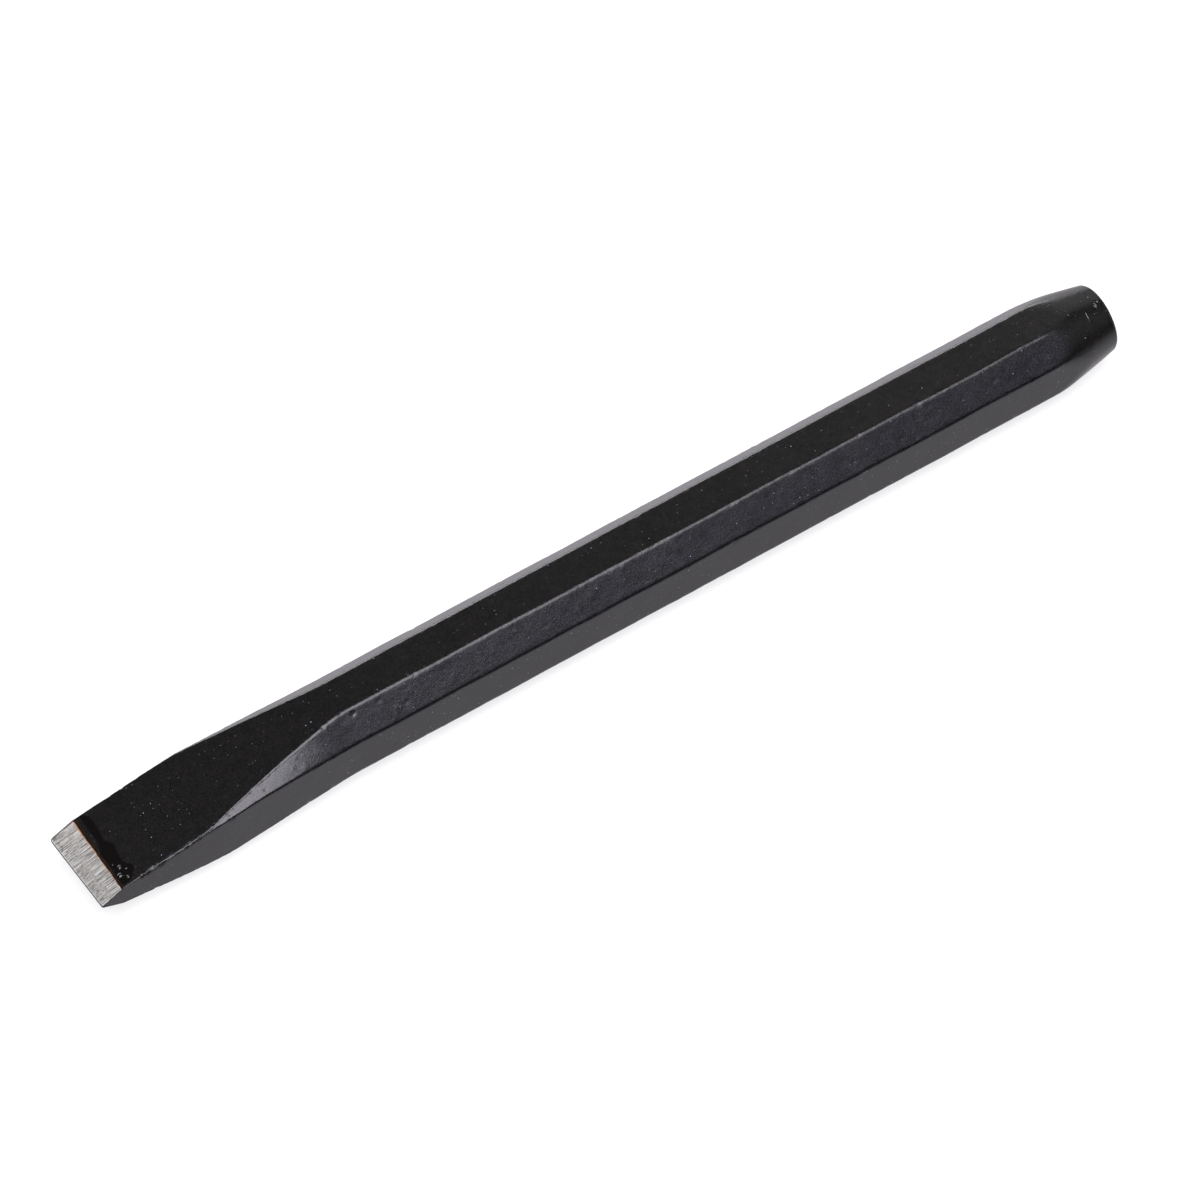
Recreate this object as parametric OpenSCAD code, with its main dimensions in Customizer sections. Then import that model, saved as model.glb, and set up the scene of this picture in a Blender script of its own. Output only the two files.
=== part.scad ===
// Cold chisel: one bar of eight-sided tool steel, forged to a flared blade and
// turned to a tapered crown at the struck end, under a coat of black lacquer
// that stops at the two ground bevels.
//
// The origin is the centre of the struck face. +X points out of that face,
// the cutting edge is at -X, and +Z is the broad upper side of the blade.

/* [Bar] */
// Length from the struck face to the cutting edge
tool_l = 210; // [180:1:260]
// Width of the bar across its top, bottom and side flats
bar_af = 16; // [15.5:0.1:16.5]
// Width of the bar across its 45 degree flats
bar_diagonal_af = 16.4; // [16:0.1:17]

/* [Struck end] */
// Length of the tapered crown behind the struck face
crown_l = 13; // [10:0.5:16]
// Radius of the crown at the struck face
face_r = 6.3; // [5.5:0.1:6.8]
// Angle of the crown to the tool's axis at the struck face
crown_face_angle = 12.5; // [11:0.5:16]
// Angle of the crown to the tool's axis at its other end
crown_bar_angle = 9; // [7:0.5:11]
// Radius of the rounded rim of the struck face
rim_r = 0.5; // [0.3:0.1:1]

/* [Blade] */
// Distance from the cutting edge back to the start of the taper
taper_l = 50.5; // [44:0.5:70]
// Half the length over which the bar eases into the taper
taper_ease = 2.5; // [2:0.5:9]
// Blade thickness where the bevels start
blade_t = 4.1; // [3:0.1:5.5]
// Width that the flare reaches at the shoulders
blade_w = 17.3; // [16.6:0.1:19.5]
// Distance from the cutting edge back to the shoulders
shoulder_l = 19.5; // [16:0.5:24]
// Half the length over which each shoulder is rounded
shoulder_ease = 9; // [5:0.5:11]
// Length of the cutting edge
edge_w = 17; // [16:0.1:18]
// Distance along the taper in which the 45 degree flats run out
facet_fade_l = 30; // [26:0.5:34]
// Drop of the cutting edge below the bar's axis, from the hand forging
edge_drop = 0.7; // [0:0.1:1.5]
// Sideways set of the cutting edge towards -Y, from the hand forging
edge_set = 1.2; // [0:0.1:1.5]

/* [Bevels] */
// Length of each ground bevel along the tool
bevel_l = 5; // [3:0.1:6]
// Thickness left at the cutting edge
edge_t = 0.2; // [0.1:0.05:0.5]

/* [Lacquer] */
// Thickness of the lacquer coat
coat_t = 0.12; // [0.1:0.01:0.25]

/* [Hidden] */

// Places along the tool
edge_x = -tool_l;
bevel_x = edge_x + bevel_l;
shoulder_x = edge_x + shoulder_l;
taper_x = edge_x + taper_l;

// Steps in each eased stretch, in the crown's curve and in its rim
ease_steps = 8;
crown_steps = 8;
rim_steps = 5;

// Reach of the cutting shapes beyond the bar, and overrun past its ends
reach = 30;
overrun = 5;

// Slopes of the blade's outline, in millimetres per millimetre of length
taper_slope = (bar_af - blade_t) / 2 / (taper_l - bevel_l);
flare_slope = (blade_w - bar_af) / 2 / (taper_l - shoulder_l);
shoulder_slope = (blade_w - edge_w) / 2 / shoulder_l;
drop_slope = edge_drop / taper_l;
set_slope = edge_set / taper_l;
bevel_slope = (blade_t - edge_t) / 2 / bevel_l;

// Distance past a corner, eased over a distance of ease on each side of it
function ramp(past, ease) =
    past <= -ease ? 0
    : past >= ease ? past
    : pow(past + ease, 2) / (4 * ease);

function past_taper(x) = ramp(taper_x - x, taper_ease);
function past_shoulder(x) = ramp(shoulder_x - x, shoulder_ease);

// Centre line of the tool, which leaves the bar's axis along the blade
function middle_y(x) = -set_slope * past_taper(x);
function middle_z(x) = -drop_slope * past_taper(x);

// Half-widths of the outer surface: up, sideways and across the 45 degree flats
function half_t(x) = bar_af / 2 - taper_slope * past_taper(x);
function half_w(x) =
    bar_af / 2 + flare_slope * past_taper(x)
    - (flare_slope + shoulder_slope) * past_shoulder(x);
function half_d(x) = bar_diagonal_af / 2 + facet_slope * past_taper(x);

// The 45 degree flats rise until they reach the blade's square corners
fade_x = taper_x - facet_fade_l;
facet_slope =
    ((half_t(fade_x) + half_w(fade_x)) / sqrt(2) - bar_diagonal_af / 2) / facet_fade_l;

// Stations where the outline bends, from the struck end to the cutting edge
function eased(corner_x, ease) =
    [for (i = [0:ease_steps]) corner_x + ease * (1 - 2 * i / ease_steps)];
stations = concat(
    [overrun],
    eased(taper_x, taper_ease),
    eased(shoulder_x, shoulder_ease),
    [edge_x - overrun]
);

// Radius of the crown at a distance back from the struck face
crown_curve = (tan(crown_face_angle) - tan(crown_bar_angle)) / (2 * crown_l);
function crown_r(back) = face_r + tan(crown_face_angle) * back - crown_curve * back * back;

// Slab between two outlines above and below the centre line, with its long
// faces moved in by inset; turn is the angle of its normal about the X axis
module slab(turn, inset) {
    function middle(x) = middle_y(x) * cos(turn) + middle_z(x) * sin(turn);
    function half(x) = turn == 0 ? half_w(x) : turn == 90 ? half_t(x) : half_d(x);
    upper = [for (x = stations) [x, middle(x) + half(x) - inset]];
    lower = [for (x = stations) [x, middle(x) - half(x) + inset]];
    rotate([turn, 0, 0])
        linear_extrude(2 * reach, center = true)
            polygon(concat(upper, [for (i = [len(lower) - 1:-1:0]) lower[i]]));
}

// Round envelope that trims the bar's corners to the crown, turned about X
module crown_envelope(inset) {
    rim = [
        for (i = [0:rim_steps])
            let (angle = (90 - crown_face_angle) * i / rim_steps)
            [face_r - rim_r + rim_r * sin(angle), rim_r - rim_r * cos(angle)]
    ];
    flank = [
        for (i = [1:crown_steps])
            let (back = rim_r + (crown_l + 1 - rim_r) * i / crown_steps)
            [crown_r(back), back]
    ];
    outline = concat(
        [[0, inset]],
        [for (point = rim) [point[0] - inset, max(point[1], 0) + inset]],
        [for (point = flank) [point[0] - inset, point[1]]],
        [[reach, crown_l + 1], [reach, tool_l + overrun], [0, tool_l + overrun]]
    );
    rotate([0, -90, 0])
        rotate_extrude($fn = 96)
            polygon(outline);
}

// Whole forging before grinding, with every face moved in by inset
module forging(inset) {
    intersection() {
        slab(0, inset);
        slab(90, inset);
        slab(45, inset);
        slab(-45, inset);
        crown_envelope(inset);
    }
}

// Space that the two ground bevels leave standing
module ground_wedge() {
    wedge_l = bevel_l + reach;
    wedge_half = edge_t / 2 + bevel_slope * wedge_l;
    wedge_z = middle_z(edge_x) + drop_slope * wedge_l;
    rotate([90, 0, 0])
        linear_extrude(2 * reach, center = true)
            polygon([
                [edge_x, middle_z(edge_x) - edge_t / 2],
                [edge_x + wedge_l, wedge_z - wedge_half],
                [overrun, wedge_z - wedge_half],
                [overrun, wedge_z + wedge_half],
                [edge_x + wedge_l, wedge_z + wedge_half],
                [edge_x, middle_z(edge_x) + edge_t / 2]
            ]);
}

module forged_body() {
    color([0.70, 0.69, 0.66])
        intersection() {
            forging(coat_t);
            ground_wedge();
        }
}

module lacquer_coat() {
    color([0.10, 0.10, 0.11])
        difference() {
            intersection() {
                forging(0);
                ground_wedge();
            }
            forging(coat_t);
        }
}

forged_body();
lacquer_coat();
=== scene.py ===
"""Looks of the cold chisel: a lacquered forging with bare ground bevels.

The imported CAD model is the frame. Two meshes are lofted round it, the steel
body and the lacquer film over it, and each stands for its CAD node. Shape
values are in millimetres in the CAD frame: the struck face is at x = 0 and
the cutting edge is at -X, with +Z square to the broad side of the blade.
"""
import math

import bpy
import numpy as np
from mathutils import Matrix, Vector


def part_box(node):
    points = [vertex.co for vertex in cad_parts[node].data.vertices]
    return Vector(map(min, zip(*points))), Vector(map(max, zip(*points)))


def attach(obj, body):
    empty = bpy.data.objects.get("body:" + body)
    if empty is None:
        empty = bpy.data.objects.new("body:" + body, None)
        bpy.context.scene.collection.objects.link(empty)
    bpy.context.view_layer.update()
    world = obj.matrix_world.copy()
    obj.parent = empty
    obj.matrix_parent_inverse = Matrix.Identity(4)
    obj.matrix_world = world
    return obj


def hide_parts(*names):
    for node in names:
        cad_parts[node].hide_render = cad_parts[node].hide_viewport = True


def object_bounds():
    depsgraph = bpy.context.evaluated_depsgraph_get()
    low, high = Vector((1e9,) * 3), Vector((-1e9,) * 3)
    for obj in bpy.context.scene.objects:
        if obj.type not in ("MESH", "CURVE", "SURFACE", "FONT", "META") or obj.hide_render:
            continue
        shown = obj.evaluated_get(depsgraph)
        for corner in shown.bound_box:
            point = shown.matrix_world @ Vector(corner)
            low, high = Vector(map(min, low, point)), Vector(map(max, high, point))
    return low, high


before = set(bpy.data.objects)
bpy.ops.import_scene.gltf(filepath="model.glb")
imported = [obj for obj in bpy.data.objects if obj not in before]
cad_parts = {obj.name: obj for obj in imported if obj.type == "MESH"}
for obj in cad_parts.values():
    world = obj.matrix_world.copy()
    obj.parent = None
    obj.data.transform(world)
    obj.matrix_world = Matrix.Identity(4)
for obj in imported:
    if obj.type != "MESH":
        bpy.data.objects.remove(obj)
cad_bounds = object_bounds()

MM = 0.001

# ---------------------------------------------------------------- sizes

coat_low, coat_high = [np.array(corner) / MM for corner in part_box("lacquer_coat")]
steel_high = np.array(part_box("forged_body")[1]) / MM

# How far the finished cutting edge stops short of the CAD's
HONED = 0.2
EDGE_X = coat_low[0] + HONED
BAR_HALF = coat_high[2]
FILM = coat_high[2] - steel_high[2]
# Distance of each 45 degree flat from the bar's axis, by the angle of its normal
DIAGONAL_HALF = {45: 8.1, 135: 8.3, 225: 8.35, 315: 8.3}

# Struck end
CROWN_L = 13.0
FACE_R = 6.3
RIM_R = 0.5
CROWN_FACE_ANGLE = 12.5
CROWN_BAR_ANGLE = 9.0
CROWN_FACE_SLOPE = math.tan(math.radians(CROWN_FACE_ANGLE))
CROWN_BAR_SLOPE = math.tan(math.radians(CROWN_BAR_ANGLE))
FACE_DOME = 0.12
SCALLOP_SOFTNESS = 0.1

# Blade
TAPER_X = EDGE_X + 50.3
TAPER_EASE = 2.5
SHOULDER_X = EDGE_X + 19.3
SHOULDER_EASE = 9.0
BLADE_T = 4.1
SHOULDER_HALF = {"far": 8.3, "near": 9.15}
EDGE_HALF = {"far": 8.35, "near": 8.8}
EDGE_DROP = 0.7
EDGE_SET = 0.8
# Length over which each 45 degree flat runs out, by the angle of its normal
FADE_L = {45: 26.5, 135: 30.0, 225: 26.0, 315: 30.0}
FADE_SOFTNESS = 0.12
# Width that a run-out flat keeps, so that no face of the mesh has zero area, and the
# most that it takes of a thin edge's half-thickness
FACET_LEFT = 0.04
FACET_SHARE = 0.4
# Length over which the near upper flat comes to lean, and the share by which it does
LEAN_L = 27.0
LEAN = 0.4
BAR_CORNER_R = 1.25
BLADE_CORNER_R = 0.15
WORN_CORNER_R = 0.38
TIP_CORNER_R = {"far": 0.55, "near": 0.2}

# Bevels, whose border on the broad side has waves of that height, rate and phase
BEVEL_L = 4.8
BEVEL_SKEW = 0.0255
BEVEL_WAVES = [(0.03, 1.1, 0.4), (0.015, 3.7, 0.0)]
EDGE_T = 0.2
GROUND_CORNER_R = 0.07

TAPER_SLOPE = (BAR_HALF - BLADE_T / 2) / (TAPER_X - EDGE_X - BEVEL_L)
DROP_SLOPE = EDGE_DROP / (TAPER_X - EDGE_X)
SET_SLOPE = EDGE_SET / (TAPER_X - EDGE_X)
BEVEL_RISE = (BLADE_T - EDGE_T) / 2


# ---------------------------------------------------------------- outline


def ramp(past, ease):
    """Distance past a corner, eased over a distance of ease on each side of it."""
    eased = (past + ease) ** 2 / (4 * ease)
    return np.where(past <= -ease, 0.0, np.where(past >= ease, past, eased))


def past_taper(x):
    """Distance beyond the place where the bar starts to thin."""
    return ramp(TAPER_X - x, TAPER_EASE)


def past_shoulder(x):
    """Distance beyond the place where the blade is widest."""
    return ramp(SHOULDER_X - x, SHOULDER_EASE)


def middle_y(x):
    """Middle of the section across the tool, which follows the blade's set."""
    return -SET_SLOPE * past_taper(x)


def middle_z(x):
    """Middle of the section in height."""
    return -DROP_SLOPE * past_taper(x)


def half_thickness(x):
    """Height of the broad side above the middle."""
    return BAR_HALF - TAPER_SLOPE * past_taper(x)


def half_width(x, side):
    """Width from the middle to one side, with the corner at the cutting edge rounded."""
    flare = (SHOULDER_HALF[side] - BAR_HALF) / (TAPER_X - SHOULDER_X)
    closing = (SHOULDER_HALF[side] - EDGE_HALF[side]) / (SHOULDER_X - EDGE_X)
    width = BAR_HALF + flare * past_taper(x) - (flare + closing) * past_shoulder(x)
    tip_r = TIP_CORNER_R[side]
    inside = np.clip(tip_r - (x - EDGE_X), 0.0, tip_r)
    return width - tip_r + np.sqrt(tip_r**2 - inside**2)


def half_diagonal(x, flat, side):
    """Distance of a 45 degree flat, which runs out into the blade's square corner."""
    fade_x = TAPER_X - FADE_L[flat]
    corner = (half_thickness(fade_x) + half_width(fade_x, side)) / math.sqrt(2)
    share = past_taper(x) / FADE_L[flat]
    return DIAGONAL_HALF[flat] + (corner - DIAGONAL_HALF[flat]) * share


def crown_radius(back):
    """Radius of the turned crown at a distance back from the struck face."""
    curve = (CROWN_FACE_SLOPE - CROWN_BAR_SLOPE) / (2 * CROWN_L)
    return FACE_R + CROWN_FACE_SLOPE * back - curve * back**2


def bevel_start(y):
    """Length of the bevels at y: a slightly skewed and wavy line across the blade."""
    length = BEVEL_L + BEVEL_SKEW * y
    for height, rate, phase in BEVEL_WAVES:
        length = length + height * np.sin(rate * y + phase)
    return length


def bevel_half(x, y):
    """Half-height of the ground wedge."""
    return EDGE_T / 2 + BEVEL_RISE * (x - EDGE_X) / bevel_start(y)


def smooth_step(value, low, high):
    """Smooth rise from 0 at low to 1 at high."""
    share = np.clip((value - low) / (high - low), 0.0, 1.0)
    return share * share * (3 - 2 * share)


def soft_min(a, b, softness):
    """Smaller of a and b, rounded where they cross and exact away from there."""
    near = np.clip(1 - np.abs(a - b) / (4 * softness), 0.0, None)
    return np.minimum(a, b) - softness * near**2


# ---------------------------------------------------------------- columns
# A ring round the bar has eight flats with normals at 0, 45 ... 315 degrees from
# +Y towards +Z, and eight rounded corners between them. Each column of the mesh
# keeps its place on a flat or corner from one end of the tool to the other.

ARC_STEPS = 6
NEAR_SHARE = 0.36
FAR_PLACES = 44
NEAR_PLACES = 72
FLAT_STEPS = {45: 14, 135: 22, 180: 28, 225: 10, 270: 34, 315: 10, 360: 22}


def top_flat_places():
    """Places across the top flat: close together near the blistered corner."""
    far = np.linspace(0.0, 1.0 - NEAR_SHARE, FAR_PLACES)[1:]
    near = np.linspace(1.0 - NEAR_SHARE, 1.0, NEAR_PLACES)[1:-1]
    return np.concatenate([far, near])


def make_columns():
    """Corner before, corner after, share between them and normal angle of each column."""
    rows = []
    for corner in range(8):
        for step in range(ARC_STEPS + 1):
            rows.append((corner, corner, 0.0, 45.0 * (corner + step / ARC_STEPS)))
        angle = 45 * (corner + 1)
        if angle == 90:
            places = top_flat_places()
        else:
            places = np.arange(1, FLAT_STEPS[angle]) / FLAT_STEPS[angle]
        for share in places:
            rows.append((corner, (corner + 1) % 8, float(share), float(angle)))
    return [np.array(part) for part in zip(*rows)]


CORNER_A, CORNER_B, SHARE, ANGLE = make_columns()
NORMAL_Y = np.cos(np.radians(ANGLE))
NORMAL_Z = np.sin(np.radians(ANGLE))
IS_ARC = CORNER_A == CORNER_B
COLUMNS = len(ANGLE)

HALF_CORNER = 22.5
# Degrees from a column's normal to that of the nearer flat, 0 on the flats
ON_CORNER = HALF_CORNER - np.abs(ANGLE % 45 - HALF_CORNER)

# 1 for the columns on the blade's rounder corner, the upper near one
WORN_CORNERS = (2, 3)
ON_WORN = np.where(np.isin(CORNER_A, WORN_CORNERS), 1 - SHARE, 0.0)
ON_WORN = ON_WORN + np.where(np.isin(CORNER_B, WORN_CORNERS), SHARE, 0.0)
# The worn corner turns sharp again between these distances from the cutting edge
WORN_FROM = 5.0
WORN_FULL = 10.0


def corner_radius(x):
    """Radius of the rounded corner at every column."""
    share = np.clip(past_taper(x) / FADE_L[135], 0.0, 1.0)
    worn = ON_WORN * smooth_step(x - EDGE_X, WORN_FROM, WORN_FULL)
    blade_r = BLADE_CORNER_R + (WORN_CORNER_R - BLADE_CORNER_R) * worn
    return BAR_CORNER_R + (blade_r - BAR_CORNER_R) * share


WOBBLE_WAVES = 5
WOBBLE_HEIGHT = 0.011
WOBBLE_LENGTHS = (9.0, 55.0)
WOBBLE_FADE_L = 12.0
wobble_rng = np.random.default_rng(11)
WOBBLE = [
    (
        2 * math.pi / wobble_rng.uniform(*WOBBLE_LENGTHS, WOBBLE_WAVES),
        wobble_rng.uniform(0.0, 2 * math.pi, WOBBLE_WAVES),
    )
    for flat in range(8)
]


def wobble(x, flat):
    """Waviness of one rolled flat along the bar, none at the cutting edge."""
    rates, phases = WOBBLE[flat]
    total = sum(np.sin(rate * x + phase) for rate, phase in zip(rates, phases))
    return WOBBLE_HEIGHT * total * np.clip((x - EDGE_X) / WOBBLE_FADE_L, 0.0, 1.0)


def corner_centre(x, corner, top_half, radius):
    """Centre of one rounded corner in y and z, from the middle of the section."""
    sign_y = 1 if corner in (0, 1, 6, 7) else -1
    sign_z = 1 if corner < 4 else -1
    side_flat = 0 if sign_y > 0 else 4
    level_flat = 2 if sign_z > 0 else 6
    diagonal_flat = 2 * (corner // 2) + 1
    side_name = "far" if sign_y > 0 else "near"
    side = half_width(x, side_name) + wobble(x, side_flat) - radius
    level = top_half + wobble(x, level_flat) - radius
    diagonal = half_diagonal(x, 45 * diagonal_flat, side_name) + wobble(x, diagonal_flat)
    diagonal = math.sqrt(2) * (diagonal - radius)
    lean = LEAN * smooth_step(past_taper(x), 0.0, LEAN_L) if corner in WORN_CORNERS else 0.0
    lean = lean * np.clip(side + level - diagonal, 0.0, None)
    left = np.minimum(FACET_LEFT, FACET_SHARE * level)
    if corner in (0, 3, 4, 7):
        lower = soft_min(level, diagonal - side + lean, FADE_SOFTNESS)
        return sign_y * side, sign_z * np.minimum(lower, level - left)
    inner = soft_min(side, diagonal - level - lean, FADE_SOFTNESS)
    return sign_y * np.minimum(inner, side - left), sign_z * level


def offset_ring(x, inset, top_half, radius):
    """y and z of every column for a section of that half-thickness and corner radius."""
    y = np.zeros_like(x)
    z = np.zeros_like(x)
    for corner in range(8):
        centre_y, centre_z = corner_centre(x, corner, top_half, radius)
        part = np.where(CORNER_A == corner, 1 - SHARE, 0.0)
        part = part + np.where((CORNER_B == corner) & ~IS_ARC, SHARE, 0.0)
        y += part * centre_y
        z += part * centre_z
    return y + (radius - inset) * NORMAL_Y, z + (radius - inset) * NORMAL_Z


def section(x, inset, ground=False):
    """y and z of every column at x, from the middle of the blade or bar."""
    radius = corner_radius(x)
    top_half = half_thickness(x)
    y, z = offset_ring(x, inset, top_half, radius)
    if ground:
        wedge = bevel_half(x, y) + inset
        cut = np.clip(top_half - wedge, 0.0, None)
        radius = np.maximum(radius - cut, GROUND_CORNER_R + inset)
        y, z = offset_ring(x, inset, np.minimum(top_half, wedge), radius)
    return y, z


def trimmed(y, z, limit):
    """Pulls in whatever stands outside the crown's radius, and says where it did."""
    reach = np.hypot(y, z)
    scale = soft_min(reach, limit, SCALLOP_SOFTNESS) / reach
    turned = smooth_step(reach - limit, -1.5 * SCALLOP_SOFTNESS, 0.5 * SCALLOP_SOFTNESS)
    return y * scale, z * scale, turned


# ---------------------------------------------------------------- rows

NO_LIMIT = 1000.0
# Between here and the bevels, rows bend from square to following the bevels' border
BLEND_X = EDGE_X + 24.0

# Where the spacing of the rows changes: the crown's marked end and whole length, the
# start of the taper, and the blade's last stretch
MARKED_L = 6.0
CROWN_ROWS_L = CROWN_L + 2.0
TAPER_ROWS_X = TAPER_X + 8.0
LAST_ROWS_X = EDGE_X + 12.0
FACE_ROWS = 9
RIM_ROWS = 8
SMALLEST_RING = 0.08
MEETING_ROUNDS = 24
LEAST_HEIGHT = 0.002


def bevel_meets(inset, along_top):
    """x at which each column of a surface meets the ground wedge.

    With along_top, every column takes the place where the broad side at its own y
    meets the wedge, which keeps one row of the steel on the bevel's upper border.
    """
    x = np.full((1, COLUMNS), EDGE_X + BEVEL_L)
    for _ in range(MEETING_ROUNDS):
        y, z = section(x, inset)
        height = half_thickness(x) - inset if along_top else np.abs(z)
        height = np.maximum(height - EDGE_T / 2, LEAST_HEIGHT)
        x = EDGE_X + height * bevel_start(y) / BEVEL_RISE
    return x[0]


def spaced(start, stop, step):
    """Values from start up to but not including stop, about step apart."""
    count = max(1, round(abs(stop - start) / step))
    return np.linspace(start, stop, count, endpoint=False)


def struck_end_rows(inset, step):
    """x and crown radius of the rows over the struck face, its rim and the crown."""
    flat_r = FACE_R - RIM_R
    share = np.linspace(SMALLEST_RING, 1.0, FACE_ROWS)
    turn = np.radians(np.linspace(0.0, 90.0 - CROWN_FACE_ANGLE, RIM_ROWS)[1:])
    back = np.concatenate([
        spaced(FACE_DOME + RIM_R, MARKED_L, step / 2),
        spaced(MARKED_L, CROWN_ROWS_L, step),
    ])
    x = np.concatenate([
        -FACE_DOME * share**2 - inset,
        -FACE_DOME - RIM_R * (1 - np.cos(turn)) - inset * np.cos(turn),
        -back,
    ])
    limit = np.concatenate([
        flat_r * share,
        flat_r + RIM_R * np.sin(turn) - inset * np.sin(turn),
        crown_radius(back) - inset,
    ])
    return x, limit


def loft(inset, steps, ends, beyond=None):
    """x, y and z of a lofted surface, rows by columns.

    steps are the row spacings of crown, bar, taper and last stretch; ends is the x
    of each column's last row. beyond adds ground rows from there to the edge.
    """
    crown_step, bar_step, taper_step, last_step = steps
    x, limit = struck_end_rows(inset, crown_step)
    last_x = EDGE_X + BEVEL_L
    body_x = np.concatenate([
        spaced(-CROWN_ROWS_L, TAPER_ROWS_X, bar_step),
        spaced(TAPER_ROWS_X, LAST_ROWS_X, taper_step),
        spaced(LAST_ROWS_X, last_x, last_step),
        [last_x],
    ])
    x = np.concatenate([x, body_x])
    limit = np.concatenate([limit, np.full(len(body_x), NO_LIMIT)])
    x = np.repeat(x[:, None], COLUMNS, axis=1)
    share = np.clip((BLEND_X - x) / (BLEND_X - last_x), 0.0, 1.0)
    x = x + share * (ends - last_x)
    if beyond is not None:
        tail = ends + (EDGE_X - ends) * beyond[:, None]
        x = np.concatenate([x, tail])
        limit = np.concatenate([limit, np.full(len(tail), NO_LIMIT)])
    y, z = section(x, inset, ground=beyond is not None)
    y, z, turned = trimmed(y, z, limit[:, None])
    return np.stack([x, y + middle_y(x), z + middle_z(x)], axis=-1), turned


def outward(points):
    """Unit normals of a lofted surface, from its neighbouring rows and columns."""
    along = np.gradient(points, axis=0)
    around = np.roll(points, -1, axis=1) - np.roll(points, 1, axis=1)
    normal = np.cross(along, around)
    length = np.linalg.norm(normal, axis=-1, keepdims=True)
    return normal / np.maximum(length, 1e-9)


# ---------------------------------------------------------------- relief

# Height and wavelengths of the lacquer's own waves, everywhere and on 45 degree flats
SKIN_WAVES = [(0.006, 4.0, 15.0), (0.002, 1.0, 2.5)]
DIAGONAL_WAVES = (0.003, 1.5, 5.0)

# Random bumps and pits: where, how many, radii, and heights, below 0 for a pit
SPOTS = [
    ("ridges", 1500, (0.16, 0.35), (-0.045, 0.035)),
    ("ridges", 110, (0.25, 0.5), (-0.09, 0.03)),
    ("worn corner", 240, (0.14, 0.3), (-0.05, 0.015)),
    ("45 degree flats", 70, (0.2, 0.5), (-0.07, -0.02)),
    ("45 degree flats", 120, (0.2, 0.8), (0.006, 0.03)),
    ("anywhere", 90, (0.12, 0.25), (0.01, 0.03)),
]
# Spots stop here, short of the bevels, and the worn corner's span these places
SPOT_LAST_X = EDGE_X + BEVEL_L + 3
WORN_SPOTS_X = (EDGE_X + 8, SHOULDER_X + 8)

# Dents on the near upper ridge and beside it: x, y, z, radius and height
MARKS = [
    (-156.6, -4.45, 7.2, 0.3, -0.24),
    (-162.4, -4.3, 7.55, 0.3, -0.14),
    (-143.8, -3.8, 7.95, 0.3, -0.12),
]

# Blisters in the lacquer at the blade's near corner: distance behind the bevel,
# place across the blade, radius, and height over radius
BLISTERS = [
    (0.65, -3.7, 0.18, 0.40),
    (1.30, -4.9, 0.34, 0.62),
    (2.15, -5.7, 0.26, 0.28),
    (0.30, -4.7, 0.18, 0.35),
    (0.55, -6.3, 0.38, 0.45),
    (0.35, -5.5, 0.22, 0.12),
    (1.60, -7.4, 0.26, 0.35),
    (1.35, -8.0, 0.18, 0.15),
    (2.50, -7.0, 0.45, 0.12),
    (2.85, -5.3, 0.45, 0.12),
    (1.20, -6.4, 0.50, 0.14),
    (2.05, -6.6, 0.35, 0.12),
    (1.55, -5.7, 0.35, 0.14),
]

# Width of the run of thick lacquer behind the bevel, from the near to the far corner
RUN_PLACES = [-8.3, -7.6, -7.0, -5.7, -4.8, -3.5, -1.8, -0.2, 1.3, 4.1, 6.8, 7.4, 8.2]
RUN_WIDTHS = [1.2, 2.5, 2.95, 3.3, 2.3, 2.2, 2.45, 2.65, 1.7, 2.2, 2.15, 1.9, 1.0]
RUN_BLUR = 0.45
RUN_SAMPLES = 7
# The run leaves the lip by this much on its far half, over this stretch across
RUN_GAP = 0.8
RUN_GAP_ACROSS = (-1.0, 2.0)
# Places across the blade between which the run fades out at its two corners
RUN_NEAR_END = (-8.7, -8.1)
RUN_FAR_END = (7.6, 8.4)
RUN_HEIGHT = 0.05
RUN_SOFTNESS = 0.5
# Share of the run's height that waves, and their wavelengths
RUN_WAVES = (0.4, 1.5, 4.0)

# Bristle mark on the crown: height, radius, distance from the face at its middle, how
# much it bends over the spread, and angles round the crown
HAIR_H = 0.06
HAIR_R = 0.1
HAIR_BACK = 4.7
HAIR_BEND = 0.3
HAIR_ANGLE = 119
HAIR_SPREAD = 12
HAIR_START = (104, 110)
HAIR_END = (134, 138)

# Drip beside it: height, radius, stretch along x, y and z, distance from the face,
# angle round the crown, and the beads that it is made of
DRIP_H = 0.38
DRIP_R = 0.45
DRIP_STRETCH = (1.0, 0.8, 0.8)
DRIP_BACK = 1.7
DRIP_ANGLE = 106
BEAD_TURN = (4.1, 3.3, -2.2)
BEAD_RATE = 2.2
BEAD_SHARE = 0.4


def lumps(points, rng, shortest, longest, waves=26):
    """Smooth random relief of about unit height with those wavelengths."""
    total = np.zeros(points.shape[:-1])
    for _ in range(waves):
        direction = rng.normal(size=3)
        direction /= np.linalg.norm(direction)
        rate = 2 * math.pi / rng.uniform(shortest, longest)
        total += np.sin(points @ direction * rate + rng.uniform(0, 2 * math.pi))
    return total / math.sqrt(waves / 2)


def add_spots(relief, points, allowed, rng, count, radii, heights):
    """Adds small round bumps (height above 0) or pits (below 0) at random places."""
    rows, columns = np.nonzero(allowed)
    for pick in rng.integers(0, len(rows), count):
        centre = points[rows[pick], columns[pick]]
        radius = rng.uniform(*radii)
        height = rng.uniform(*heights)
        near = np.abs(points[:, columns[pick], 0] - centre[0]) < 4 * radius
        gap = np.linalg.norm(points[near] - centre, axis=-1)
        relief[near] += height * np.exp(-((gap / radius) ** 2))


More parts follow.
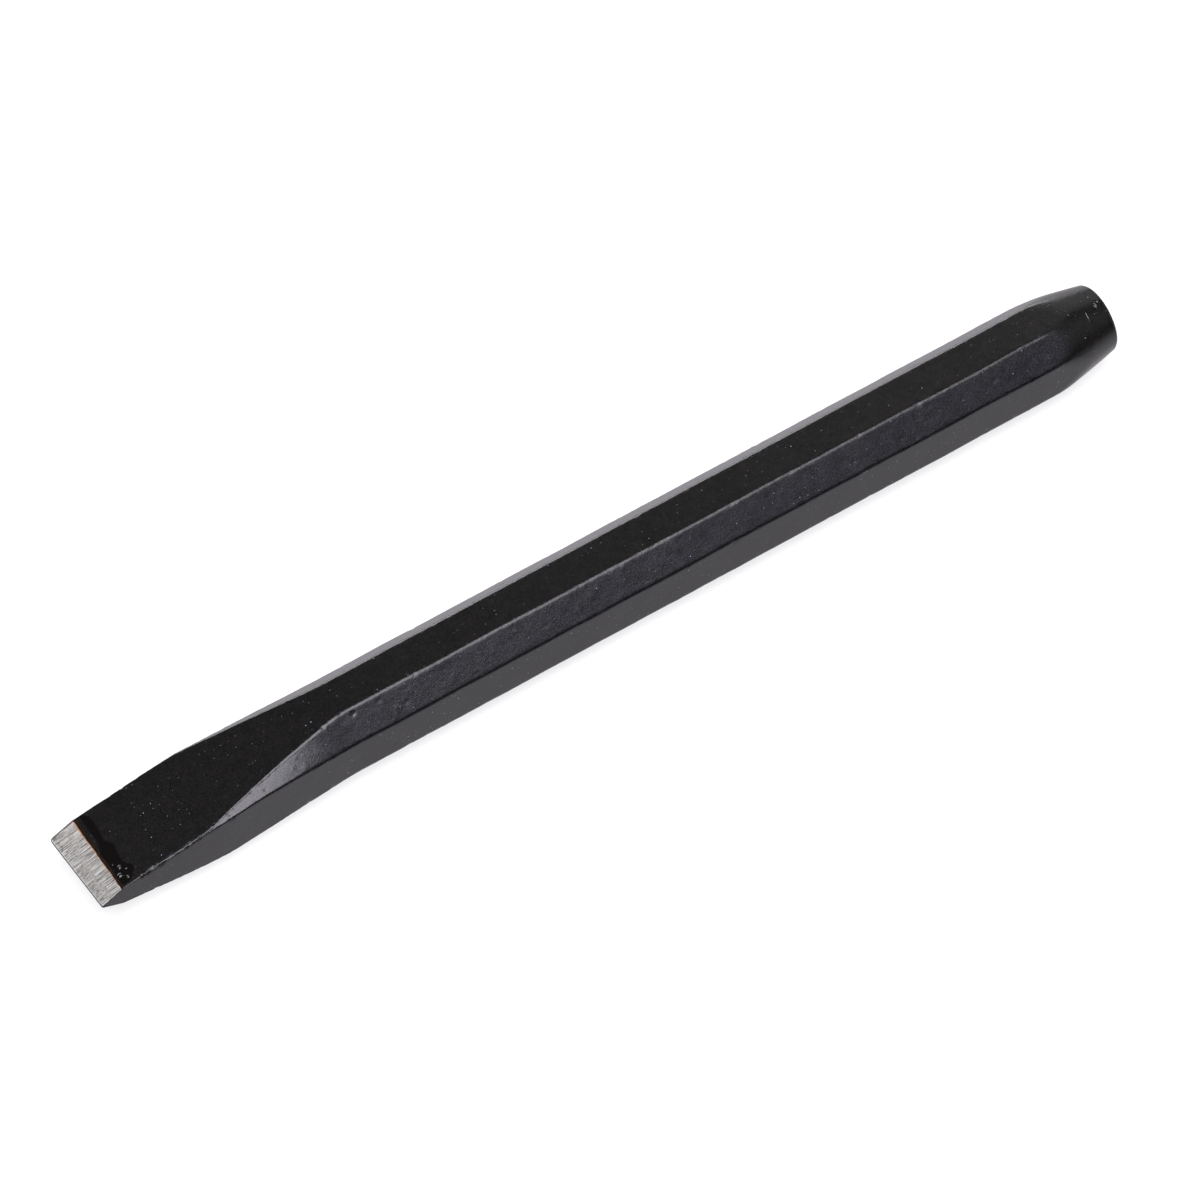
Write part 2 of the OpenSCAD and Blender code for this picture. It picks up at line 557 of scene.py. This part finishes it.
def wet_run(behind, across, on_top):
    """Share of a run of thick wet lacquer along the upper bevel, 0 to 1."""
    spread = np.linspace(-RUN_BLUR, RUN_BLUR, RUN_SAMPLES)
    widths = [np.interp(across + step, RUN_PLACES, RUN_WIDTHS) for step in spread]
    width = sum(widths) / RUN_SAMPLES
    start = RUN_GAP * smooth_step(across, *RUN_GAP_ACROSS)
    ends = smooth_step(across, *RUN_NEAR_END) * (1 - smooth_step(across, *RUN_FAR_END))
    inside = smooth_step(behind, start - 0.3, start + 0.6)
    outside = smooth_step(behind, width - RUN_SOFTNESS, width + RUN_SOFTNESS)
    return on_top * ends * inside * (1 - outside)


def blister_relief(behind, across, on_top):
    """Domes of the blisters, each with a steep foot."""
    relief = np.zeros_like(behind)
    for distance, place, radius, height in BLISTERS:
        gap = np.hypot(behind - distance, across - place) / radius
        dome = np.sqrt(np.clip(1 - gap**2, 0.0, None))
        relief = np.maximum(relief, height * radius * dome)
    return relief * on_top


def hair_mark(points):
    """Fine raised bristle mark, curved round the crown."""
    angle = np.degrees(np.arctan2(points[..., 2], points[..., 1]))
    bend = -HAIR_BACK + HAIR_BEND * ((angle - HAIR_ANGLE) / HAIR_SPREAD) ** 2
    ends = smooth_step(angle, *HAIR_START) * (1 - smooth_step(angle, *HAIR_END))
    return ends * np.exp(-(((points[..., 0] - bend) / HAIR_R) ** 2))


def crown_drip(points):
    """Small bead of lacquer near the rim of the struck face."""
    angle = math.radians(DRIP_ANGLE)
    reach = crown_radius(DRIP_BACK)
    centre = np.array([-DRIP_BACK, reach * math.cos(angle), reach * math.sin(angle)])
    gap = np.linalg.norm((points - centre) * DRIP_STRETCH, axis=-1)
    beads = 1 + BEAD_SHARE * np.sin(points @ np.array(BEAD_TURN) * BEAD_RATE)
    return np.exp(-((gap / DRIP_R) ** 2)) * beads


# ---------------------------------------------------------------- meshes

SHARP_ANGLE = 32


def grid_faces(rows, first, flip=False):
    """Quads of a closed-round grid of rows, numbered from first."""
    row, column = np.meshgrid(np.arange(rows - 1), np.arange(COLUMNS), indexing="ij")
    after = (column + 1) % COLUMNS
    a = first + row * COLUMNS + column
    b = a + COLUMNS
    c = first + (row + 1) * COLUMNS + after
    d = first + row * COLUMNS + after
    quads = np.stack([a, b, c, d], axis=-1).reshape(-1, 4)
    return quads[:, ::-1] if flip else quads


def make_piece(name, parts, tips, closing, node, material, attributes):
    """Object from lofted parts, given as (points, flip), tip points and closing faces."""
    lofts = [points for points, flip in parts] + [tips]
    vertices = np.concatenate([points.reshape(-1, 3) for points in lofts])
    faces = []
    first = 0
    for points, flip in parts:
        faces += grid_faces(len(points), first, flip).tolist()
        first += points.shape[0] * COLUMNS
    faces += closing
    mesh = bpy.data.meshes.new(name)
    mesh.from_pydata((vertices * MM).tolist(), [], faces)
    for label, values in attributes.items():
        layer = mesh.attributes.new(label, "FLOAT", "POINT")
        padded = np.zeros(len(vertices))
        padded[: values.size] = values.ravel()
        layer.data.foreach_set("value", padded)
    mesh.shade_smooth()
    mesh.set_sharp_from_angle(angle=math.radians(SHARP_ANGLE))
    mesh.materials.append(material)
    mesh.validate()
    piece = bpy.data.objects.new(name, mesh)
    bpy.context.scene.collection.objects.link(piece)
    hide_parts(node)
    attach(piece, "root")
    return piece


def bridge(first_row, second_row):
    """Quads between two rows of vertices, each given by its first number."""
    return [
        [
            first_row + column,
            second_row + column,
            second_row + (column + 1) % COLUMNS,
            first_row + (column + 1) % COLUMNS,
        ]
        for column in range(COLUMNS)
    ]


def fan(centre, first_row, flip=False):
    """Triangles from a centre vertex to a row of vertices."""
    faces = []
    for column in range(COLUMNS):
        after = (column + 1) % COLUMNS
        face = [centre, first_row + column, first_row + after]
        faces.append(face[::-1] if flip else face)
    return faces


# Degrees from a flat's normal over which its look fades into the next flat's
FLAT_FADE = (4.0, 20.0)
# Gap between the steel and the film, which keeps their surfaces apart
ROOF_GAP = 0.004
# Row spacings along the crown, bar, taper and last stretch, seen and hidden
OUTER_STEPS = (0.13, 0.35, 0.25, 0.1)
HIDDEN_STEPS = (1.0, 4.0, 2.0, 1.0)
# Rows on the bevels, and on the last share of them, where they crowd at the edge
BEVEL_ROWS = 42
TIP_ROWS = 14
TIP_SHARE = 0.1


def on_flat(*angles):
    """1 for the columns on flats with those normal angles, fading over the corners."""
    share = np.zeros(COLUMNS)
    for angle in angles:
        gap = np.abs((ANGLE - angle + 180) % 360 - 180)
        share = np.maximum(share, 1 - smooth_step(gap, *FLAT_FADE))
    return share


def spot_places(x, diagonal):
    """Where each kind of spot may lie, as a mask over the rows and columns."""
    clear = x > SPOT_LAST_X
    bar = (x < -CROWN_L) & clear
    worn = (x > WORN_SPOTS_X[0]) & (x < WORN_SPOTS_X[1])
    return {
        "ridges": bar & IS_ARC & (ON_CORNER > 10.5),
        "worn corner": worn & IS_ARC & (ON_WORN > 0.9),
        "45 degree flats": bar & (diagonal > 0.5),
        "anywhere": clear,
    }


def lacquer_relief(points, turned):
    """Height of the lacquer's skin above the plain outline, and its surface shares."""
    rng = np.random.default_rng(7)
    x = points[..., 0]
    diagonal = on_flat(45, 135, 225, 315) * (1 - turned)
    relief = np.zeros_like(x)
    for height, shortest, longest in SKIN_WAVES:
        relief += height * lumps(points, rng, shortest, longest)
    height, shortest, longest = DIAGONAL_WAVES
    relief += height * diagonal * lumps(points, rng, shortest, longest)
    places = spot_places(x, diagonal)
    for place, count, radii, heights in SPOTS:
        add_spots(relief, points, places[place], rng, count, radii, heights)
    for *centre, radius, height in MARKS:
        gap = np.linalg.norm(points - centre, axis=-1)
        relief += height * np.exp(-((gap / radius) ** 2))

    across = points[..., 1] - middle_y(x)
    border = EDGE_X + bevel_start(across)
    behind = x - border
    on_top = on_flat(90) + np.zeros_like(x)
    wet = wet_run(behind, across, on_top)
    share, shortest, longest = RUN_WAVES
    relief += RUN_HEIGHT * wet * (1 + share * lumps(points, rng, shortest, longest))
    relief += blister_relief(behind, across, on_top)
    hair = hair_mark(points)
    drip = crown_drip(points)
    relief += HAIR_H * hair + DRIP_H * drip
    wet = np.maximum(wet, np.clip(2.5 * np.maximum(hair, drip), 0.0, 1.0))
    return relief, wet, diagonal


def build_lacquer(material):
    """Closed film over the forging, open only where the bevels are ground."""
    outer, turned = loft(0.0, OUTER_STEPS, bevel_meets(0.0, False))
    inner = loft(FILM, HIDDEN_STEPS, bevel_meets(FILM, False))[0]
    relief, wet, diagonal = lacquer_relief(outer, turned)
    outer = outer + outward(outer) * relief[..., None]
    outer_count = len(outer) * COLUMNS
    inner_count = len(inner) * COLUMNS
    tips = np.array([[[0.0, 0.0, 0.0], [-FILM, 0.0, 0.0]]])
    closing = fan(outer_count + inner_count, 0)
    closing += fan(outer_count + inner_count + 1, outer_count, flip=True)
    closing += bridge(outer_count - COLUMNS, outer_count + inner_count - COLUMNS)
    lip = np.zeros((len(outer) + len(inner), COLUMNS))
    lip[[len(outer) - 1, -1]] = 1.0
    ridge = smooth_step(ON_CORNER, 3.0, 14.0) * (1 - turned)
    attributes = {"wet": wet, "diagonal": diagonal, "ridge": ridge, "lip": lip}
    return make_piece(
        "chisel_lacquer", [(outer, False), (inner, True)], tips, closing,
        "lacquer_coat", material, attributes,
    )


def build_steel(material):
    """Solid steel body, seen only on its two ground bevels and cutting edge."""
    even_rows = np.linspace(0.0, 1 - TIP_SHARE, BEVEL_ROWS)[1:]
    tip_rows = 1 - TIP_SHARE * np.linspace(1.0, 0.0, TIP_ROWS)[1:] ** 2
    beyond = np.concatenate([even_rows, tip_rows])
    body = loft(FILM + ROOF_GAP, HIDDEN_STEPS, bevel_meets(FILM, True), beyond)[0]
    count = len(body) * COLUMNS
    edge_middle = [EDGE_X, float(middle_y(EDGE_X)), float(middle_z(EDGE_X))]
    tips = np.array([[[-FILM - ROOF_GAP, 0.0, 0.0], edge_middle]])
    closing = fan(count, 0)
    closing += fan(count + 1, count - COLUMNS, flip=True)
    across = body[..., 1] - middle_y(body[..., 0])
    border = EDGE_X + bevel_start(across)
    near_room = half_width(body[..., 0], "near") + across
    attributes = {
        "from_border": border - body[..., 0],
        "from_edge": body[..., 0] - EDGE_X,
        "from_side": near_room - FILM,
    }
    return make_piece(
        "chisel_steel", [(body, False)], tips, closing,
        "forged_body", material, attributes,
    )


# ---------------------------------------------------------------- materials


class Shader:
    """A new node material, with short calls for the nodes that this script uses."""

    def __init__(self, name):
        self.material = bpy.data.materials.new(name)
        self.material.use_nodes = True
        self.nodes = self.material.node_tree.nodes
        self.links = self.material.node_tree.links
        self.bsdf = self.nodes["Principled BSDF"]
        position = self.nodes.new("ShaderNodeTexCoord").outputs["Object"]
        self.place = self.vector_math("SCALE", position, scale=1 / MM)

    def join(self, value, socket):
        """Links a node's output to a socket, or stores a plain value in it."""
        if isinstance(value, bpy.types.NodeSocket):
            self.links.new(value, socket)
        else:
            socket.default_value = value

    def vector_math(self, operation, first, second=None, scale=None):
        """One step on vectors, which gives a vector, or a number for a dot product."""
        node = self.nodes.new("ShaderNodeVectorMath")
        node.operation = operation
        self.join(first, node.inputs[0])
        if second is not None:
            self.join(second, node.inputs[1])
        if scale is not None:
            self.join(scale, node.inputs["Scale"])
        return node.outputs["Value" if operation == "DOT_PRODUCT" else "Vector"]

    def math(self, operation, first, second):
        """One arithmetic step on two numbers."""
        node = self.nodes.new("ShaderNodeMath")
        node.operation = operation
        self.join(first, node.inputs[0])
        self.join(second, node.inputs[1])
        return node.outputs[0]

    def attribute(self, name):
        """Value that the mesh stores at its points under that name."""
        node = self.nodes.new("ShaderNodeAttribute")
        node.attribute_name = name
        return node.outputs["Fac"]

    def noise(self, grain, detail=2.0, place=None, roughness=0.5):
        """Noise of mean 0.5 with patches of about that size in millimetres."""
        node = self.nodes.new("ShaderNodeTexNoise")
        self.join(place or self.place, node.inputs["Vector"])
        node.inputs["Scale"].default_value = 1 / grain
        node.inputs["Detail"].default_value = detail
        node.inputs["Roughness"].default_value = roughness
        return node.outputs["Fac"]

    def cells(self, size):
        """Distance from the nearest of many scattered points, and that point's colour."""
        node = self.nodes.new("ShaderNodeTexVoronoi")
        self.join(self.place, node.inputs["Vector"])
        node.inputs["Scale"].default_value = 1 / size
        return node.outputs["Distance"], node.outputs["Color"]

    def span(self, value, low, high, to_low=0.0, to_high=1.0):
        """Maps low..high to to_low..to_high, smooth and held outside the span."""
        node = self.nodes.new("ShaderNodeMapRange")
        node.interpolation_type = "SMOOTHSTEP"
        for socket, number in zip(node.inputs, (value, low, high, to_low, to_high)):
            self.join(number, socket)
        return node.outputs["Result"]

    def mix(self, share, first, second):
        """Blend of two colours, each an output or an (r, g, b)."""
        node = self.nodes.new("ShaderNodeMix")
        node.data_type = "RGBA"
        self.join(share, node.inputs["Factor"])
        colours = [socket for socket in node.inputs if socket.type == "RGBA"]
        for value, socket in zip((first, second), colours):
            plain = isinstance(value, tuple)
            self.join((*value, 1.0) if plain else value, socket)
        return next(socket for socket in node.outputs if socket.type == "RGBA")

    def bump(self, height, depth, before=None):
        """Bump whose height runs from 0 to depth millimetres."""
        node = self.nodes.new("ShaderNodeBump")
        node.inputs["Distance"].default_value = depth * MM
        self.join(height, node.inputs["Height"])
        if before is not None:
            self.join(before, node.inputs["Normal"])
        return node.outputs["Normal"]

    def set(self, **values):
        """Sets the surface's inputs, with _ for a space in their names."""
        for name, value in values.items():
            if isinstance(value, tuple):
                value = (*value, 1.0)
            self.join(value, self.bsdf.inputs[name.replace("_", " ")])


LACQUER_TONES = ((0.0001, 0.0001, 0.0001), (0.0046, 0.0038, 0.0038))
VIOLET_TONES = ((0.0001, 0.0001, 0.0006), (0.0085, 0.0080, 0.0125))
RUN_TONE = (0.0032, 0.0028, 0.0024)
LIP_TONES = ((0.006, 0.004, 0.003), (0.03, 0.018, 0.010))

# Dust in the lacquer: spacing, radii between which a speck fades, span of the random
# value that picks it out, and colour
DUST = [
    (1.0, (0.05, 0.11), (0.60, 0.90), (0.27, 0.34, 0.45)),
    (0.8, (0.04, 0.10), (0.50, 0.75), (0.20, 0.22, 0.26)),
]

# Depths of the film's fine relief in millimetres, and the pebbles' share of it off the
# 45 degree flats and on the ridges
PEBBLE_DEPTH = 0.022
PEBBLE_SHARE = 0.25
RIDGE_PEBBLE = 1.4
PEEL_DEPTH = 0.006
GRAIN_DEPTH = 0.008
# Roughness, the share of it left where wet, and how strongly the film and its lip shine
SATIN = (0.28, 0.32)
WET_SHINE = 0.22
FILM_SHEEN = 0.5
LIP_LOSS = 0.45
LACQUER_IOR = 1.5


def lacquer_tone(shader, wet, dry, lip):
    """Colour of the lacquer: mottled, violet on the 45 degree flats, with dust."""
    patches = shader.math("MULTIPLY", shader.noise(1.9, 4.0, roughness=0.65), 0.3)
    flecks = shader.math("MULTIPLY", shader.noise(0.28, 2.0), 0.7)
    mottle = shader.span(shader.math("ADD", patches, flecks), 0.40, 0.60)
    tone = shader.mix(mottle, *LACQUER_TONES)
    violet = shader.mix(mottle, *VIOLET_TONES)
    tone = shader.mix(shader.attribute("diagonal"), tone, violet)
    tone = shader.mix(wet, tone, RUN_TONE)
    for spacing, radii, chosen, dust_tone in DUST:
        distance, random = shader.cells(spacing)
        speck = shader.span(distance, *radii, 1.0, 0.0)
        speck = shader.math("MULTIPLY", speck, shader.span(random, *chosen))
        tone = shader.mix(shader.math("MULTIPLY", speck, dry), tone, dust_tone)
    chips = shader.mix(shader.span(shader.noise(0.22, 2.0), 0.45, 0.65), *LIP_TONES)
    return shader.mix(lip, tone, chips)


def lacquer_bump(shader, dry):
    """Pebbles, coarser on the 45 degree flats and ridges, orange peel and fine grain."""
    cover = shader.span(shader.attribute("diagonal"), 0.0, 1.0, PEBBLE_SHARE, 1.0)
    on_ridge = shader.math("MULTIPLY", shader.attribute("ridge"), RIDGE_PEBBLE)
    cover = shader.math("ADD", cover, on_ridge)
    pebble = shader.math("MULTIPLY", shader.noise(0.34, 3.0, roughness=0.55), cover)
    pebble = shader.bump(shader.math("MULTIPLY", pebble, dry), PEBBLE_DEPTH)
    peel = shader.math("MULTIPLY", shader.noise(0.25, 2.0), dry)
    peel = shader.bump(peel, PEEL_DEPTH, pebble)
    grain = shader.math("MULTIPLY", shader.noise(0.12, 1.0), dry)
    return shader.bump(grain, GRAIN_DEPTH, peel)


def lacquer_material():
    """Near-black satin lacquer with orange peel, dust and a wetter run."""
    shader = Shader("black_lacquer")
    wet = shader.attribute("wet")
    dry = shader.math("SUBTRACT", 1.0, wet)
    lip = shader.span(shader.attribute("lip"), 0.5, 0.9)
    satin = shader.span(shader.noise(0.4, 3.0), 0.3, 0.7, *SATIN)
    satin = shader.math("MULTIPLY", satin, shader.span(wet, 0.0, 1.0, 1.0, WET_SHINE))
    shader.set(Base_Color=lacquer_tone(shader, wet, dry, lip), Roughness=satin)
    sheen = shader.math("SUBTRACT", FILM_SHEEN, shader.math("MULTIPLY", lip, LIP_LOSS))
    shader.set(Specular_IOR_Level=sheen, IOR=LACQUER_IOR)
    shader.set(Normal=lacquer_bump(shader, dry))
    return shader.material


# Grinding streaks: turn from the tool's length in degrees, and scale along each axis
STREAK_TURN = 5.0
STREAK_STRETCH = (0.04, 1.0, 0.04)
STREAK_DEPTH = 0.006
STREAK_TONES = ((0.10, 0.098, 0.090), (0.50, 0.495, 0.46))
BAND_TONE = (0.2, 0.195, 0.175)
STAIN_TONE = (0.07, 0.062, 0.05)
RUST_TONE = (0.34, 0.14, 0.035)
# Painted highlight colour for the light line along the bevels' near side
SIDE_HIGHLIGHT_TONE = (0.80, 0.81, 0.80)
# Painted highlight colour for the band just behind the cutting edge
EDGE_HIGHLIGHT_TONE = (0.62, 0.63, 0.62)
# Painted shade colour for the dark line along the cutting edge
EDGE_SHADE_TONE = (0.02, 0.02, 0.02)


def steel_tone(shader, streaks, streak_place):
    """Colour of the ground steel, by its distances from the edge, border and side, with
    painted highlight lines along the near side and behind the edge, and a painted shade line
    on the edge.
    """
    from_edge = shader.attribute("from_edge")
    tone = shader.mix(shader.span(streaks, 0.40, 0.60), *STREAK_TONES)
    bands = shader.span(shader.noise(0.5, 2.0, streak_place), 0.4, 0.65, 0.0, 0.4)
    tone = shader.mix(bands, tone, BAND_TONE)
    stain = shader.span(shader.noise(0.45, 5.0, roughness=0.7), 0.53, 0.62)
    stain = shader.math("MULTIPLY", stain, shader.span(from_edge, 0.5, 3.0, 0.85, 0.35))
    tone = shader.mix(stain, tone, STAIN_TONE)
    patchy = shader.span(shader.noise(0.35, 2.0), 0.35, 0.6, 0.35, 1.0)
    rust = shader.span(shader.attribute("from_border"), 0.50, 0.58, 1.0, 0.0)
    tone = shader.mix(shader.math("MULTIPLY", rust, patchy), tone, RUST_TONE)
    # Painted highlight: a light line on the bevels along the blade's near side
    painted_side_highlight = shader.span(shader.attribute("from_side"), 0.05, 0.11, 0.75, 0.0)
    tone = shader.mix(painted_side_highlight, tone, SIDE_HIGHLIGHT_TONE)
    # Painted highlight: a lighter band just behind the cutting edge
    tone = shader.mix(shader.span(from_edge, 0.22, 0.30, 0.4, 0.0), tone, EDGE_HIGHLIGHT_TONE)
    # Painted shade: a near-black line along the cutting edge
    return shader.mix(shader.span(from_edge, 0.08, 0.17, 0.9, 0.0), tone, EDGE_SHADE_TONE)


def steel_material():
    """Bare ground steel: streaks up the bevels, dark mottles, a rusty hair line, painted
    highlight lines and a painted shade line at the edge.
    """
    shader = Shader("ground_steel")
    turn = shader.nodes.new("ShaderNodeVectorRotate")
    turn.rotation_type = "Z_AXIS"
    turn.inputs["Angle"].default_value = math.radians(STREAK_TURN)
    shader.join(shader.place, turn.inputs["Vector"])
    streak_place = shader.vector_math("MULTIPLY", turn.outputs["Vector"], STREAK_STRETCH)
    streaks = shader.noise(0.12, 3.0, streak_place, 0.7)
    satin = shader.span(streaks, 0.38, 0.62, 0.5, 0.38)
    across_streaks = shader.nodes.new("ShaderNodeCombineXYZ")
    across_streaks.inputs["X"].default_value = -math.sin(math.radians(STREAK_TURN))
    across_streaks.inputs["Y"].default_value = math.cos(math.radians(STREAK_TURN))
    shader.set(Base_Color=steel_tone(shader, streaks, streak_place), Metallic=1.0)
    shader.set(Roughness=satin, Normal=shader.bump(streaks, STREAK_DEPTH))
    shader.set(Anisotropic=0.85, Tangent=across_streaks.outputs[0])
    return shader.material


# ---------------------------------------------------------------- setting

# Sizes and places of the floor and the lights are in metres
FLOOR_SIZE = 6.0
FLOOR_Z = coat_low[2] * MM
FLOOR_WHITE = 0.3
FLOOR_GLOW = 0.72
# Floor as the lacquer mirrors it: glow, tint, and the direction and span of its fading
MIRROR_GLOW = 0.97
MIRROR_TINT = (1.0, 0.965, 1.03)
MIRROR_TURN = (-0.4, -0.15, 1.0)
MIRROR_SPAN = (0.28, 0.58)
ROOM_COLOUR = (1.0, 0.97, 0.97)
ROOM_GLOW = 0.045

# Lights: azimuth, elevation, distance, width, height, radiance and colour
LIGHTS = {
    "key_light": (-18, 69, 1.2, 1.33, 1.0, 7.5, (1.0, 0.975, 1.05)),
    "back_light": (178, 11, 1.5, 1.9, 0.55, 5.2, (1.0, 0.99, 1.03)),
    "side_light": (126, 34, 1.5, 0.9, 0.8, 0.8, (1.0, 0.97, 0.97)),
    "end_light": (50, 28, 1.5, 1.1, 0.9, 0.26, (1.0, 0.97, 1.02)),
    "room_light": (270, 12, 1.8, 1.7, 0.8, 0.4, (1.0, 0.98, 0.99)),
}

# Camera: degrees, lens and sensor in millimetres, distance in metres, and the shift of
# its aim in millimetres
CAMERA_AZIMUTH = -29.906
CAMERA_ELEVATION = 51.272
CAMERA_ROLL = -4.093
CAMERA_LENS = 243.57
CAMERA_SENSOR = 36.0
CAMERA_DISTANCE = 1.3886
CAMERA_SHIFT = (-1.27, -2.911, 0.0)

# Place on the bar's axis that the lights and the camera are set out from
middle = Vector(((cad_bounds[0][0] + cad_bounds[1][0]) / 2, 0.0, 0.0))


def floor_material():
    """Softly glowing white floor, whose mirror image darkens towards the camera side."""
    shader = Shader("studio_floor")
    nodes = shader.nodes
    plain = (FLOOR_WHITE, FLOOR_WHITE, FLOOR_WHITE)
    glow = (FLOOR_GLOW, FLOOR_GLOW, FLOOR_GLOW)
    shader.set(Base_Color=plain, Roughness=1.0, Specular_IOR_Level=0.0)
    shader.set(Emission_Color=glow, Emission_Strength=1.0)
    incoming = nodes.new("ShaderNodeNewGeometry").outputs["Incoming"]
    toward = shader.vector_math("DOT_PRODUCT", incoming, MIRROR_TURN)
    mirror = nodes.new("ShaderNodeEmission")
    mirror.inputs["Color"].default_value = (*MIRROR_TINT, 1.0)
    shader.join(shader.span(toward, *MIRROR_SPAN, 0.0, MIRROR_GLOW), mirror.inputs["Strength"])
    choice = nodes.new("ShaderNodeMixShader")
    shader.join(nodes.new("ShaderNodeLightPath").outputs["Is Glossy Ray"], choice.inputs[0])
    shader.join(shader.bsdf.outputs[0], choice.inputs[1])
    shader.join(mirror.outputs[0], choice.inputs[2])
    shader.join(choice.outputs[0], nodes["Material Output"].inputs["Surface"])
    return shader.material


def build_floor():
    """Plain white floor that the bar lies on."""
    half = FLOOR_SIZE / 2
    corners = [(-half, -half), (half, -half), (half, half), (-half, half)]
    mesh = bpy.data.meshes.new("floor")
    mesh.from_pydata([(x, y, FLOOR_Z) for x, y in corners], [], [(0, 1, 2, 3)])
    mesh.materials.append(floor_material())
    floor = bpy.data.objects.new("floor", mesh)
    bpy.context.scene.collection.objects.link(floor)


def direction(azimuth, elevation):
    """Unit vector from the object, with azimuth 0 on the -Y side, turning to +X."""
    turn = math.radians(azimuth)
    rise = math.radians(elevation)
    level = math.cos(rise)
    return Vector((math.sin(turn) * level, -math.cos(turn) * level, math.sin(rise)))


def softbox(name, azimuth, elevation, distance, width, height, radiance, colour):
    """Soft rectangular light aimed at the middle of the tool."""
    light = bpy.data.lights.new(name, "AREA")
    light.color = colour
    light.shape = "RECTANGLE"
    light.size = width
    light.size_y = height
    light.energy = radiance * math.pi * width * height
    lamp = bpy.data.objects.new(name, light)
    toward = direction(azimuth, elevation)
    lamp.location = middle + toward * distance
    lamp.rotation_euler = toward.to_track_quat("Z", "Y").to_euler()
    lamp.visible_camera = False
    bpy.context.scene.collection.objects.link(lamp)


def build_camera():
    """Camera over the near side of the blade, at a long focal length."""
    back = direction(CAMERA_AZIMUTH, CAMERA_ELEVATION)
    level_right = Vector((0, 0, 1)).cross(back).normalized()
    level_up = back.cross(level_right)
    roll = math.radians(CAMERA_ROLL)
    right = level_right * math.cos(roll) + level_up * math.sin(roll)
    up = back.cross(right)
    turn = Matrix((right, up, back)).transposed().to_4x4()
    lens = bpy.data.cameras.new("camera")
    lens.sensor_width = CAMERA_SENSOR
    lens.lens = CAMERA_LENS
    camera = bpy.data.objects.new("camera", lens)
    aim = middle + Vector(CAMERA_SHIFT) * MM
    camera.matrix_world = Matrix.Translation(aim + back * CAMERA_DISTANCE) @ turn
    bpy.context.scene.collection.objects.link(camera)
    bpy.context.scene.camera = camera


def build_world():
    """Plain white room that the camera sees, but that glows only faintly on the tool."""
    world = bpy.data.worlds.new("studio")
    world.use_nodes = True
    nodes = world.node_tree.nodes
    links = world.node_tree.links
    backdrop = nodes["Background"]
    backdrop.inputs["Color"].default_value = (*ROOM_COLOUR, 1.0)
    seen = nodes.new("ShaderNodeMapRange")
    seen.inputs["To Min"].default_value = ROOM_GLOW
    light_path = nodes.new("ShaderNodeLightPath")
    links.new(light_path.outputs["Is Camera Ray"], seen.inputs["Value"])
    links.new(seen.outputs["Result"], backdrop.inputs["Strength"])
    bpy.context.scene.world = world
    bpy.context.scene.view_settings.view_transform = "Standard"


build_lacquer(lacquer_material())
build_steel(steel_material())
build_floor()
for light_name, light_values in LIGHTS.items():
    softbox(light_name, *light_values)
build_world()
build_camera()
